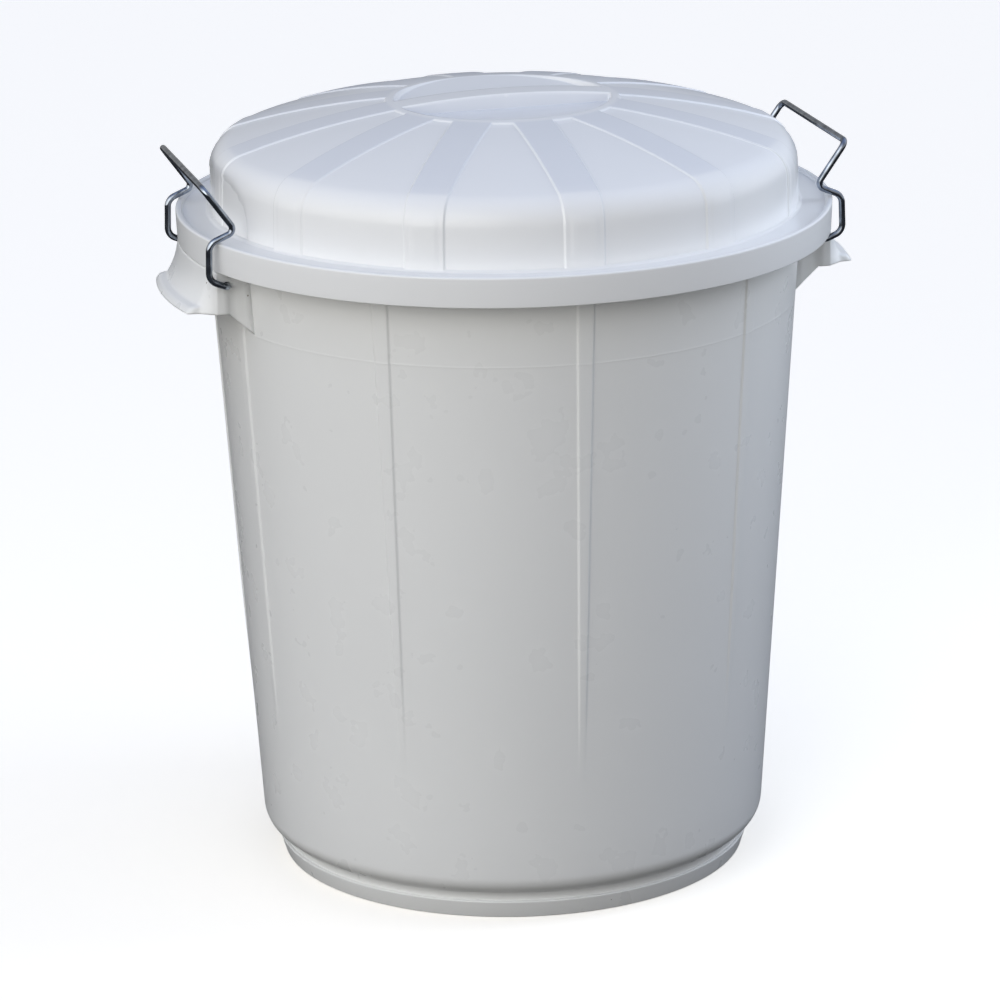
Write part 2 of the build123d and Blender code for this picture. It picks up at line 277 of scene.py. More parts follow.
def cloudy_tint_group():
    """Slow drifts of one colour into another, as in moulded plastic or plated metal."""
    inputs = (
        ("Position", "Vector", None), ("Scale", "Float", 6.0),
        ("Light", "Color", (0.8, 0.8, 0.8, 1)), ("Dark", "Color", (0.7, 0.7, 0.7, 1)),
    )
    group, start, end = effect_group("cloudy_tint", inputs, [("Color", "Color")])
    spread = group.nodes.new("ShaderNodeMapRange")
    socket(spread, "From Min", 0.32)
    socket(spread, "From Max", 0.62)
    mix = group.nodes.new("ShaderNodeMix")
    mix.data_type = "RGBA"
    group.links.new(noise(group, start, "Scale", 5.0), spread.inputs["Value"])
    group.links.new(spread.outputs["Result"], mix.inputs[0])
    group.links.new(start.outputs["Dark"], mix.inputs[6])
    group.links.new(start.outputs["Light"], mix.inputs[7])
    group.links.new(mix.outputs[2], end.inputs["Color"])
    return group


def handling_group():
    """Roughness of a handled surface: rubbed patches, and fine scratches that mostly run level."""
    inputs = (
        ("Position", "Vector", None), ("Scale", "Float", 38.0),
        ("Smooth", "Float", 0.2), ("Rubbed", "Float", 0.35),
    )
    group, start, end = effect_group("handling_marks", inputs, [("Roughness", "Float")])
    patches = noise(group, start, "Scale", 3.0, 0.5)
    stretch = group.nodes.new("ShaderNodeMapping")
    socket(stretch, "Scale", (14.0, 14.0, 900.0))
    group.links.new(start.outputs["Position"], stretch.inputs["Vector"])
    scratch = group.nodes.new("ShaderNodeTexNoise")
    socket(scratch, "Scale", 1.0)
    socket(scratch, "Detail", 4.0)
    group.links.new(stretch.outputs["Vector"], scratch.inputs["Vector"])
    lines = group.nodes.new("ShaderNodeMapRange")
    socket(lines, "From Min", 0.60)
    socket(lines, "From Max", 0.72)
    socket(lines, "To Max", 0.15)
    group.links.new(scratch.outputs["Fac"], lines.inputs["Value"])
    spread = group.nodes.new("ShaderNodeMapRange")
    socket(spread, "From Min", 0.30)
    socket(spread, "From Max", 0.80)
    group.links.new(patches, spread.inputs["Value"])
    both = group.nodes.new("ShaderNodeMath")
    both.operation = "MAXIMUM"
    group.links.new(spread.outputs["Result"], both.inputs[0])
    group.links.new(lines.outputs["Result"], both.inputs[1])
    result = group.nodes.new("ShaderNodeMapRange")
    group.links.new(both.outputs["Value"], result.inputs["Value"])
    group.links.new(start.outputs["Smooth"], result.inputs["To Min"])
    group.links.new(start.outputs["Rubbed"], result.inputs["To Max"])
    group.links.new(result.outputs["Result"], end.inputs["Roughness"])
    return group


def specks_group():
    """Sparse small specks, such as trapped dust in white plastic."""
    inputs = (
        ("Position", "Vector", None), ("Scale", "Float", 45.0), ("Size", "Float", 0.02),
        ("Color", "Color", (0.8, 0.8, 0.8, 1)), ("Speck", "Color", (0.3, 0.28, 0.25, 1)),
    )
    group, start, end = effect_group("dust_specks", inputs, [("Color", "Color")])
    cells = group.nodes.new("ShaderNodeTexVoronoi")
    group.links.new(start.outputs["Position"], cells.inputs["Vector"])
    group.links.new(start.outputs["Scale"], cells.inputs["Scale"])
    near = group.nodes.new("ShaderNodeMath")
    near.operation = "LESS_THAN"
    group.links.new(cells.outputs["Distance"], near.inputs[0])
    group.links.new(start.outputs["Size"], near.inputs[1])
    split = group.nodes.new("ShaderNodeSeparateColor")
    group.links.new(cells.outputs["Color"], split.inputs["Color"])
    rare = group.nodes.new("ShaderNodeMath")
    rare.operation = "LESS_THAN"
    socket(rare, 1, 0.10)
    group.links.new(split.outputs["Red"], rare.inputs[0])
    both = group.nodes.new("ShaderNodeMath")
    both.operation = "MULTIPLY"
    group.links.new(near.outputs["Value"], both.inputs[0])
    group.links.new(rare.outputs["Value"], both.inputs[1])
    mix = group.nodes.new("ShaderNodeMix")
    mix.data_type = "RGBA"
    group.links.new(both.outputs["Value"], mix.inputs[0])
    group.links.new(start.outputs["Color"], mix.inputs[6])
    group.links.new(start.outputs["Speck"], mix.inputs[7])
    group.links.new(mix.outputs[2], end.inputs["Color"])
    return group


def moulded_skin_group():
    """Height of a moulded surface: slow sink and flow ripples under a very fine mould grain."""
    inputs = (
        ("Position", "Vector", None), ("Ripple Scale", "Float", 14.0),
        ("Grain Scale", "Float", 900.0), ("Grain Share", "Float", 0.04),
    )
    group, start, end = effect_group("moulded_skin", inputs, [("Height", "Float")])
    ripple = noise(group, start, "Ripple Scale", 2.0)
    grain = noise(group, start, "Grain Scale", 3.0)
    blend = group.nodes.new("ShaderNodeMath")
    blend.operation = "MULTIPLY_ADD"
    group.links.new(grain, blend.inputs[0])
    group.links.new(start.outputs["Grain Share"], blend.inputs[1])
    group.links.new(ripple, blend.inputs[2])
    group.links.new(blend.outputs["Value"], end.inputs["Height"])
    return group


def place_effect(material, group, position, **values):
    """Puts a group in a material, on its object's position, with this material's values."""
    node = material.node_tree.nodes.new("ShaderNodeGroup")
    node.node_tree = group
    material.node_tree.links.new(position, node.inputs["Position"])
    for title, value in values.items():
        socket(node, title.replace("_", " "), value)
    return node


cloudy_tint = cloudy_tint_group()
handling_marks = handling_group()
dust_specks = specks_group()
moulded_skin = moulded_skin_group()


def moulded_plastic(name, colour, smooth, rubbed, ripple_scale):
    """White polypropylene: faintly cloudy and translucent, satin where it has been rubbed."""
    material = bpy.data.materials.new(name)
    material.use_nodes = True
    links = material.node_tree.links
    shader = material.node_tree.nodes["Principled BSDF"]
    socket(shader, "IOR", 1.49)
    socket(shader, "Subsurface Weight", 0.06)
    socket(shader, "Subsurface Radius", (0.004, 0.004, 0.004))
    place = material.node_tree.nodes.new("ShaderNodeTexCoord").outputs["Object"]
    dark = (*[channel * 0.985 for channel in colour], 1)
    tint = place_effect(material, cloudy_tint, place, Scale=7.0, Light=(*colour, 1), Dark=dark)
    specks = place_effect(material, dust_specks, place, Scale=40.0, Size=0.025)
    marks = place_effect(material, handling_marks, place, Smooth=smooth, Rubbed=rubbed)
    skin = place_effect(material, moulded_skin, place, Ripple_Scale=ripple_scale)
    bump = material.node_tree.nodes.new("ShaderNodeBump")
    socket(bump, "Strength", 0.3)
    socket(bump, "Distance", 0.0006)
    links.new(tint.outputs["Color"], specks.inputs["Color"])
    links.new(specks.outputs["Color"], shader.inputs["Base Color"])
    links.new(marks.outputs["Roughness"], shader.inputs["Roughness"])
    links.new(skin.outputs["Height"], bump.inputs["Height"])
    links.new(bump.outputs["Normal"], shader.inputs["Normal"])
    return material


drum_plastic = moulded_plastic("drum_plastic", (0.80, 0.81, 0.81), 0.27, 0.30, 13.0)
drum = finish_mesh(
    "drum_moulding", drum_points, drum_faces, drum_plastic, "drum", "drum_plastic", "drum_body"
)

# ---- the handles ----------------------------------------------------------------------------
# Part of the drum's moulding: a hollow grip under the lid's skirt on each side, open below.
# Its skin flares out to a beaded lip; side walls with gussets carry the clip's pivot holes.

HANDLE_HALF = 63.5
HANDLE_TOP = RIM - 16.0
HANDLE_FOOT = RIM - 46.0
GUSSET_FOOT = HANDLE_FOOT - 17.5
GUSSET_INSET = 1.0
HANDLE_SKIN = 2.8
SKIN_TOP_RADIUS = 229.0
LIP_BEAD = 4.4
LIP_RADIUS = HANDLE_REACH - LIP_BEAD
LIP_HALF = 51.5
STEP_ROUND = 0.3
CORNER_BLEND = 0.7
PIVOT_HOLE = 2.6
clip_joint = next(j for j in frame["joints"] if j["name"] == "right_clip_swing")
PIVOT_X, PIVOT_Z = clip_joint["pos_m"][0] / MM, clip_joint["pos_m"][2] / MM


def in_wall(y, z):
    """How far out the middle of the drum's wall is, beside the handle."""
    return math.sqrt((drum_wall(z) - DRUM_WALL / 2) ** 2 - y**2)


def handle_plan():
    """Columns round the handle, from one root to the other: top, foot, foot height, bead."""
    side = HANDLE_HALF - GUSSET_INSET
    step = PIVOT_X - GUSSET_INSET
    root_top = in_wall(side, HANDLE_TOP)
    root_foot = in_wall(side, GUSSET_FOOT)
    plan = []
    for share in (0, 0.35, 0.7, 1):
        top = (root_top + (step - STEP_ROUND - root_top) * share, side)
        foot = (root_foot + (step - STEP_ROUND - root_foot) * share, side)
        plan.append((top, foot, GUSSET_FOOT + (HANDLE_FOOT - GUSSET_FOOT) * share, 0))
    corner = math.asin(HANDLE_HALF / SKIN_TOP_RADIUS)
    corner_x = SKIN_TOP_RADIUS * math.cos(corner)
    for x in (step + STEP_ROUND, (step + corner_x) / 2, corner_x - CORNER_BLEND, corner_x):
        plan.append(((x, HANDLE_HALF), (x, HANDLE_HALF), HANDLE_FOOT, 0))
    lip_angle = math.asin(LIP_HALF / LIP_RADIUS)
    lip_x = LIP_RADIUS * math.cos(lip_angle)
    for share in np.linspace(0, 1, 12)[1:]:
        angle = corner + (lip_angle - corner) * share
        top = (SKIN_TOP_RADIUS * math.cos(angle), SKIN_TOP_RADIUS * math.sin(angle))
        foot_x = corner_x + (lip_x - corner_x) * share
        foot = (foot_x, HANDLE_HALF + (LIP_HALF - HANDLE_HALF) * share)
        plan.append((top, foot, HANDLE_FOOT, float(ramp(share, 0.72, 1.0))))
    for angle in np.linspace(lip_angle, 0, 20)[1:]:
        arm = np.array((math.cos(angle), math.sin(angle)))
        plan.append((tuple(arm * SKIN_TOP_RADIUS), tuple(arm * LIP_RADIUS), HANDLE_FOOT, 1))
    flip = [((a, -b), (c, -d), z, bead) for (a, b), (c, d), z, bead in reversed(plan[:-1])]
    return plan + flip


def handle_skin(hand):
    """Points and faces of one handle: a closed section carried along its plan, ends capped."""
    plan = handle_plan()
    middles = np.array([(np.array(top) + np.array(foot)) / 2 for top, foot, _, _ in plan])
    along = np.gradient(middles, axis=0)
    outward = np.stack([-along[:, 1], along[:, 0]], axis=1)
    outward /= np.linalg.norm(outward, axis=1)[:, None]
    if outward[len(plan) // 2, 0] < 0:
        outward = -outward
    depth = HANDLE_TOP - HANDLE_FOOT
    drops = [0.4, 1.2, 3, 6, 9, 12, 15, 18, 21, 23, 24.2, 24.8, 25.3, 25.9, 27, 28.6, 29.5, 29.95]
    down = np.array([0.0, *drops, depth])
    flare = 0.22 * (down / depth) + 0.78 * (down / depth) ** 2.3
    bead = LIP_BEAD * ramp(down, 24.3, 25.9)
    edge = 0.9 * (1 - np.sqrt(1 - ramp(down, depth - 0.9, depth) ** 2))
    roof = 0.8 * (1 - np.sqrt(1 - ramp(down, 0.9, 0) ** 2))
    loops = []
    for (top, foot, foot_z, share), out in zip(plan, outward):
        top, foot = np.array(top), np.array(foot)
        skin = top + (foot - top) * flare[:, None]
        outer = skin + out * (share * bead - edge - roof)[:, None]
        inner = skin - out * (HANDLE_SKIN - edge)[:, None]
        z = HANDLE_TOP - down / depth * (HANDLE_TOP - foot_z)
        shut = down > HANDLE_SKIN
        root = np.array((in_wall(0, HANDLE_TOP) - 8, top[1] * 0.9))
        loop = [(*root, HANDLE_TOP)]
        loop += [(x, y, height) for (x, y), height in zip(outer, z)]
        loop += [(x, y, height) for (x, y), height in zip(inner[shut][::-1], z[shut][::-1])]
        ceiling = HANDLE_TOP - HANDLE_SKIN
        loop += [(*inner[shut][0], ceiling), (*root, ceiling)]
        loops.append(loop)
    points = np.array(loops)
    points[:, :, :2] *= hand
    count, size = points.shape[:2]
    faces = ring_faces(count, size)
    faces.append(tuple(range(size)))
    faces.append(tuple(range((count - 1) * size, count * size)))
    return points.reshape(-1, 3), faces


def bore(piece, radius, x, z, length):
    """Cuts a round hole through a piece, along Y."""
    drill = bpy.data.meshes.new("drill")
    shape = bmesh.new()
    turn = Matrix.Translation((x * MM, 0, z * MM)) @ Matrix.Rotation(math.pi / 2, 4, "X")
    bmesh.ops.create_cone(
        shape, cap_ends=True, segments=32, radius1=radius * MM, radius2=radius * MM,
        depth=length * MM, matrix=turn,
    )
    shape.to_mesh(drill)
    shape.free()
    tool = bpy.data.objects.new("drill", drill)
    bpy.context.scene.collection.objects.link(tool)
    cut = piece.modifiers.new("bore", "BOOLEAN")
    cut.operation = "DIFFERENCE"
    cut.solver = "EXACT"
    cut.object = tool
    graph = bpy.context.evaluated_depsgraph_get()
    piece.data = bpy.data.meshes.new_from_object(piece.evaluated_get(graph))
    piece.modifiers.clear()
    bpy.data.objects.remove(tool)


for side_name, hand in (("left", -1), ("right", 1)):
    handle_points, handle_faces = handle_skin(hand)
    handle = finish_mesh(
        f"handle_{side_name}", handle_points, handle_faces, drum_plastic, "drum", "drum_plastic"
    )
    bore(handle, PIVOT_HOLE, hand * PIVOT_X, PIVOT_Z, 3 * HANDLE_HALF)

# ---- the lid --------------------------------------------------------------------------------
# One injection moulding in the same plastic: a shallow dome on a tall crown wall, a gutter
# with a raised lip, and a skirt that drops outside the drum's rim. Twelve raised bands run
# out from the middle and down the wall. Two finger pockets leave a bar to lift it by.

lid_low, lid_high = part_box("lid")
APEX = lid_high.z / MM
SKIRT_RADIUS = lid_high.y / MM + 0.06
SKIRT_FOOT = lid_low.z / MM
SKIRT_DEPTH = 21.1
GUTTER_DEPTH = 2.5
LID_WALL = 2.8
LIP_WALL = 4.4
SKIRT_LEAN = 0.9
SKIRT_EDGE_WALL = 2.8
SKIRT_WALL = 3.4
LIP_TOP = SKIRT_FOOT + SKIRT_DEPTH
GUTTER = LIP_TOP - GUTTER_DEPTH
LID_SEAT = GUTTER - LID_WALL
DOME_SPHERE = 650.0
CROWN_RADIUS = 207.4
CROWN_LEAN = 2.0 / (APEX - GUTTER)
SHOULDER_ROUND = 22.0
SHOULDER_DROP = 33.5
SHOULDER_HEIGHT = APEX - SHOULDER_DROP
BAND_PITCH = math.radians(30)
BAND_CENTRES = [BAND_PITCH * number for number in range(12)]
BAND_HALF = 13.8
BAND_HEIGHT = 1.0
BAND_START = 82.0
LOCATOR_RADIUS = 204.0
LOCATOR_DROP = 9.0
LOCATOR_WALL = 2.4
PAD_HALF = 9.0
PAD_HEIGHT = 0.5
GRIP_RADIUS = 75.5
GRIP_BAR_HALF = 11.0
GRIP_DEPTH = 10.5
ARCH_HALF = 60.0
ARCH_HEIGHT = 37.0
ARCH_DEPTH = 2.2


def dome(radius, inset=0.0):
    """Height of the shallow dome at a radius."""
    return APEX - DOME_SPHERE + np.sqrt((DOME_SPHERE - inset) ** 2 - np.asarray(radius) ** 2)


def grip_dip(x, y, inset):
    """How far a finger pocket drops the dome at a point."""
    radius = np.hypot(x, y)
    bar = GRIP_BAR_HALF - inset
    edge = GRIP_RADIUS + inset
    rim_z = dome(GRIP_RADIUS)
    deep_z = APEX - GRIP_DEPTH
    slope = (rim_z - deep_z) / (GRIP_RADIUS - GRIP_BAR_HALF)
    floor = deep_z + slope * (np.abs(y) - GRIP_BAR_HALF) - inset
    within = ramp(np.abs(y), bar - 0.7, bar + 1.8) * ramp(radius, edge + 0.4, edge - 1.5)
    return np.maximum(dome(radius, inset) - floor, 0) * within


crown_edge = CROWN_RADIUS - CROWN_LEAN * (SHOULDER_HEIGHT - GUTTER)
grip_rows = [1.5, 4, 7, 9.5, 10.5, 11.2, 11.8, 12.4, 13.4, 15, 18, 23, 30, 38, 47, 56, 64, 70, 73]
grip_rows += [74.0, 74.3, 74.6, 74.9, 75.2, 75.5, 76, 77.2, 79, 81.0, 81.6, 82.0, 82.4, 83.0]
dome_rows = [(r, float(dome(r))) for r in grip_rows + [90, 100, 115, 130, 145, 160, 174]]
crown_line = [(crown_edge, float(dome(crown_edge)), SHOULDER_ROUND), (CROWN_RADIUS, GUTTER, 2.2)]
lip_inside = SKIRT_RADIUS - LIP_WALL
skirt_edge = SKIRT_RADIUS - SKIRT_LEAN
locator_inside = LOCATOR_RADIUS - LOCATOR_WALL
locator_foot = LID_SEAT - LOCATOR_DROP
lip_line = [(lip_inside, GUTTER, 0.9), (lip_inside, LIP_TOP, 1.4)]
lip_line += [(SKIRT_RADIUS, LIP_TOP, 1.5), (skirt_edge, SKIRT_FOOT, 0.7)]
lip_line += [(skirt_edge - SKIRT_EDGE_WALL, SKIRT_FOOT, 0.7), (SKIRT_RADIUS - SKIRT_WALL, LID_SEAT, 0.8)]
lip_line += [(LOCATOR_RADIUS, LID_SEAT, 0.5), (LOCATOR_RADIUS, locator_foot, 0.6)]
lip_line += [(locator_inside, locator_foot, 0.6), (locator_inside, GUTTER, 0.5)]
lip_line += [(CROWN_RADIUS - LID_WALL, GUTTER, 0.5)]
under_line = [(crown_edge - LID_WALL, float(dome(crown_edge, LID_WALL)), SHOULDER_ROUND - LID_WALL)]
under_rows = [174, 150, 120, 95, 84, 80, 79, 78.3, 78, 77.7, 77.3, 77, 76, 70, 60, 48, 36, 26]
under_rows += [18, 14, 11, 10, 9.4, 8.8, 8, 6, 3, 1.5]
under_line += [(r, float(dome(r, LID_WALL))) for r in under_rows]
lid_outline = rounded(dome_rows + crown_line + lip_line + under_line, gap=6)
lid_normals = outline_normals(lid_outline)
under_start = int(np.argmax(lid_outline[:, 0] > SKIRT_RADIUS - 0.5))

band_edge = np.array([-2.2, -1.2, -0.7, -0.25, 0.25, 0.7, 1.2, 2.2])
pad_edge = np.array([-1.6, -0.6, 0.6, 1.6])
half_offsets = np.concatenate([[4.0], PAD_HALF + pad_edge, BAND_HALF + band_edge])
BETWEEN = 22
FAR_FROM_BAND = 99.0


def lid_angles(radius, inset):
    """Angles of the columns on one ring. Inside the bands' ring they draw in beside the bar."""
    offsets = np.concatenate([-half_offsets[::-1], half_offsets])
    if radius >= BAND_START:
        return angle_row(radius, BAND_CENTRES, offsets, BETWEEN)
    ring = angle_row(BAND_START, BAND_CENTRES, offsets, BETWEEN)
    bar_middle = GRIP_BAR_HALF - inset + 0.55
    drawn = np.where(
        np.abs(offsets) < BAND_HALF - 3,
        offsets * bar_middle / BAND_HALF,
        np.sign(offsets) * (bar_middle + (np.abs(offsets) - BAND_HALF) * 0.6),
    )
    share = float(ramp(radius, BAND_START, BAND_START - 5))
    drawn = offsets * (1 - share) + drawn * share
    lean = np.arcsin(np.clip(drawn / radius, -1, 1))
    size = len(offsets)
    block = size + BETWEEN
    result = ring.copy()
    for centre in (3, 9):
        result[centre * block : centre * block + size] = BAND_CENTRES[centre] + lean
    turned = 2 * math.pi
    for first, last in ((3, 9), (9, 15)):
        start = first * block + size
        stop = last * block
        steps = np.arange(start, stop) % len(ring)
        angles = ring[steps] + turned * (np.arange(start, stop) >= len(ring))
        ring_low = BAND_CENTRES[first % 12] + math.asin(offsets[-1] / BAND_START)
        ring_high = ring_low + math.pi - 2 * math.asin(offsets[-1] / BAND_START)
        now_low = BAND_CENTRES[first % 12] + lean[-1]
        now_high = now_low + math.pi - 2 * lean[-1]
        share_of = (angles - ring_low) / (ring_high - ring_low)
        result[steps] = now_low + share_of * (now_high - now_low)
    return result


is_under = (np.arange(len(lid_outline)) >= under_start)[:, None]
lid_angle = np.array([
    lid_angles(max(ring[0], 0.5), LID_WALL * under[0]) for ring, under in zip(lid_outline, is_under)
])
offset_block = np.concatenate([half_offsets[::-1], half_offsets, [FAR_FROM_BAND] * BETWEEN])
lid_offset = np.tile(offset_block, len(BAND_CENTRES))[None, :]
ring_radius, ring_height = lid_outline[:, :1], lid_outline[:, 1:]
on_crown = ~is_under & (ring_radius < CROWN_RADIUS + 0.01) & (ring_height > GUTTER + 0.01)
near_gutter = ramp(ring_height, GUTTER, GUTTER + 1.8)
sunk = ramp(lid_offset, BAND_HALF - 0.75, BAND_HALF + 0.75) * ramp(ring_radius, 81.2, 82.8)
pad = ramp(lid_offset, PAD_HALF + 1.6, PAD_HALF - 1.6)
pad = pad * ramp(ring_height, GUTTER + 4, GUTTER + 7) * ramp(ring_height, GUTTER + 38, GUTTER + 34)
from_clip = np.minimum(
    np.abs(np.sin((lid_angle - math.pi / 2) / 2)), np.abs(np.sin((lid_angle + math.pi / 2) / 2))
)
arch_side = ring_radius * np.sin(np.minimum(2 * np.arcsin(from_clip), math.pi / 2))
arch = (arch_side / ARCH_HALF) ** 3 + (np.maximum(ring_height - GUTTER, 0) / ARCH_HEIGHT) ** 3
arch = ramp(arch ** (1 / 3), 1.05, 0.93) * (ring_radius > CROWN_RADIUS - 12)
drop = (BAND_HEIGHT * sunk - PAD_HEIGHT * pad + ARCH_DEPTH * arch) * near_gutter * on_crown
lid_radius = ring_radius - lid_normals[:, :1] * drop
lid_height = ring_height - lid_normals[:, 1:] * drop
grip_x = lid_radius * np.sin(lid_angle)
grip_y = -lid_radius * np.cos(lid_angle)
pocket_dip = grip_dip(grip_x, grip_y, LID_WALL * is_under)
lid_height = lid_height - np.where(ring_radius < BAND_START, pocket_dip, 0)
lid_points, lid_faces = turned_skin(lid_radius, lid_height, lid_angle)
lid_plastic = moulded_plastic("lid_plastic", (0.81, 0.82, 0.83), 0.24, 0.27, 17.0)
lid = finish_mesh("lid_moulding", lid_points, lid_faces, lid_plastic, "lid", "lid_plastic", "lid")

# painted shade: the bands on the dome and the front finger pocket are made a little deeper and bluer in
# colour than the rest, to stand in for how light falls on them
lid_vertices = np.empty(len(lid.data.vertices) * 3)
lid.data.vertices.foreach_get("co", lid_vertices)
lid_x, lid_y, lid_z = lid_vertices.reshape(-1, 3).T / MM
lid_reach = np.hypot(lid_x, lid_y)
bearing = np.arctan2(lid_x, -lid_y)
from_band = bearing - np.round(bearing / BAND_PITCH) * BAND_PITCH
beside_band = np.abs(lid_reach * np.sin(from_band))
# painted shade on the bands where they cross the dome
painted_shade_share = ramp(beside_band, BAND_HALF + 0.5, BAND_HALF - 0.5) * ramp(lid_reach, 79, 83)
painted_shade_share = painted_shade_share * ramp(lid_z, SHOULDER_HEIGHT + 3.5, SHOULDER_HEIGHT + 5.0)
# painted shade in the front finger pocket, whose floor tilts away from the light; it is darkest beside the
# bar
in_pocket = ramp(dome(np.minimum(lid_reach, BAND_START)) - lid_z, 0.3, 1.5) * (lid_reach < GRIP_RADIUS + 1)
beside_bar = ramp(np.abs(lid_y), GRIP_BAR_HALF + 6, GRIP_BAR_HALF + 1)
pocket_painted_shade = in_pocket * (0.4 + 0.6 * beside_bar) * (lid_y < 0)
painted_shade_mask = lid.data.attributes.new("painted_shade_share", "FLOAT", "POINT")
painted_shade_mask.data.foreach_set("value", np.maximum(0.6 * painted_shade_share, pocket_painted_shade))
painted_shade_reader = lid_plastic.node_tree.nodes.new("ShaderNodeAttribute")
painted_shade_reader.attribute_name = "painted_shade_share"
# painted shade: the mask multiplies the plastic's colour by a bluish grey
painted_shade_tone = lid_plastic.node_tree.nodes.new("ShaderNodeMix")
painted_shade_tone.data_type = "RGBA"
painted_shade_tone.blend_type = "MULTIPLY"
socket(painted_shade_tone, 7, (0.84, 0.86, 0.91, 1))
lid_links = lid_plastic.node_tree.links
lid_shader = lid_plastic.node_tree.nodes["Principled BSDF"]
lid_links.new(lid_shader.inputs["Base Color"].links[0].from_socket, painted_shade_tone.inputs[6])
lid_links.new(painted_shade_reader.outputs["Fac"], painted_shade_tone.inputs[0])
lid_links.new(painted_shade_tone.outputs[2], lid_shader.inputs["Base Color"])

# ---- the wire clips -------------------------------------------------------------------------
# Each is one length of bright zinc-plated steel wire. Its ends turn in to pivot in the handle's
# side walls, its legs hook over the lid's lip, and its cross bar is the lever.

WIRE_RADIUS = 2.25
clip_low, clip_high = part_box("clip_right")
CLIP_HALF = clip_high.y / MM - WIRE_RADIUS
WIRE_END_SHARE = 0.82
LEG_STANDOFF = 7.4
LEG_LEAN = 0.8
LEG_FOOT_DROP = 25.4
HOOK_RISE = 0.4
HOOK_REACH = 12.0
HOOK_HEIGHT = 8.2
LEVER_REACH = 9.6
LEVER_HEIGHT = 38.6
STUB_END = 57.5
SKIRT_FACE = math.sqrt(SKIRT_RADIUS**2 - CLIP_HALF**2)
# corners of one leg: distance out, height and bend radius, from the leg's foot to the lever
clip_leg = [
    (SKIRT_FACE + LEG_STANDOFF, LIP_TOP - LEG_FOOT_DROP, 8.0),
    (SKIRT_FACE + LEG_STANDOFF - LEG_LEAN, LIP_TOP + HOOK_RISE, 8.0),
    (SKIRT_FACE - HOOK_REACH, LIP_TOP + HOOK_HEIGHT, 4.5),
    (SKIRT_FACE + LEVER_REACH, LIP_TOP + LEVER_HEIGHT, 6.0),
]


def bent_wire(corners, sections=20):
    """Centre points of a wire: straight runs with an arc at each corner that has a radius."""
    points = [np.array(corners[0][:3], float)]
    for number in range(1, len(corners) - 1):
        here = np.array(corners[number][:3], float)
        size = corners[number][3]
        to_last = np.array(corners[number - 1][:3], float) - here
        to_next = np.array(corners[number + 1][:3], float) - here
        to_last /= np.linalg.norm(to_last)
        to_next /= np.linalg.norm(to_next)
        half = math.acos(np.clip(to_last @ to_next, -1, 1)) / 2
        middle = (to_last + to_next) / np.linalg.norm(to_last + to_next)
        centre = here + middle * size / math.sin(half)
        first = here + to_last * size / math.tan(half) - centre
        last = here + to_next * size / math.tan(half) - centre
        turn = math.pi - 2 * half
        for step in range(sections + 1):
            share = step / sections
            arm = first * math.sin((1 - share) * turn) + last * math.sin(share * turn)
            points.append(centre + arm / math.sin(turn))
    points.append(np.array(corners[-1][:3], float))
    return points


def wire_skin(points, radius, around=28):
    """Points and faces of a round wire that narrows a little at its capped ends."""
    points = np.array(points)
    along = np.gradient(points, axis=0)
    along /= np.linalg.norm(along, axis=1)[:, None]
    side = np.cross(along[0], (0, 0, 1.0))
    side /= np.linalg.norm(side)
    rings = []
    for point, direction in zip(points, along):
        side = side - direction * (side @ direction)
        side /= np.linalg.norm(side)
        other = np.cross(direction, side)
        rings.append((point, side.copy(), other))
    vertices = []
    for number, (point, across, up) in enumerate(rings):
        is_end = number in (0, len(rings) - 1)
        size = radius * (WIRE_END_SHARE if is_end else 1.0)
        for step in range(around):
            turn = 2 * math.pi * step / around
            vertices.append(point + (across * math.cos(turn) + up * math.sin(turn)) * size)
    faces = ring_faces(len(rings), around)
    faces.append(tuple(range(around)))
    faces.append(tuple(range((len(rings) - 1) * around, len(rings) * around)))
    return vertices, faces


def zinc_wire(name):
    """Bright zinc plate: cool grey metal with faint drawing lines and cloudy passivation; its base colour
    is painted darker and bluer than the metal, to stand in for the dark surroundings that it reflects.
    """
    material = bpy.data.materials.new(name)
    material.use_nodes = True
    nodes = material.node_tree.nodes
    links = material.node_tree.links
    shader = nodes["Principled BSDF"]
    socket(shader, "Metallic", 1.0)
    place = nodes.new("ShaderNodeTexCoord").outputs["Object"]
    # painted reflection: both tones are darker and bluer than bright zinc, standing in for the dark
    # surroundings the wire reflects; the drift between them is the cloudy passivation
    light = (0.36, 0.40, 0.46, 1)
    dark = (0.17, 0.19, 0.23, 1)
    tint = place_effect(material, cloudy_tint, place, Scale=170.0, Light=light, Dark=dark)
    marks = place_effect(material, handling_marks, place, Scale=220.0, Smooth=0.07, Rubbed=0.2)
    links.new(tint.outputs["Color"], shader.inputs["Base Color"])
    links.new(marks.outputs["Roughness"], shader.inputs["Roughness"])
    return material


zinc = zinc_wire("zinc_plate")
half_clip = [(PIVOT_X, STUB_END, PIVOT_Z, 0), (PIVOT_X, CLIP_HALF, PIVOT_Z, 4.0)]
half_clip += [(x, CLIP_HALF, z, bend) for x, z, bend in clip_leg]
whole_clip = half_clip + [(x, -y, z, bend) for x, y, z, bend in reversed(half_clip)]
clip_line = np.array(bent_wire(whole_clip))
for side_name, hand in (("left", -1), ("right", 1)):
    wire_points, wire_faces = wire_skin(clip_line * (hand, hand, 1), WIRE_RADIUS)
    finish_mesh(
        f"clip_wire_{side_name}", wire_points, wire_faces, zinc, f"{side_name}_clip", "zinc_wire",
        f"clip_{side_name}",
    )

# ---- the studio -----------------------------------------------------------------------------
# A pale floor and surround under a broad soft sky that is cooler overhead and brighter on the
# left, with a large window light on the left, a small cool light on the right, and a long lens
# from a little above the rim.

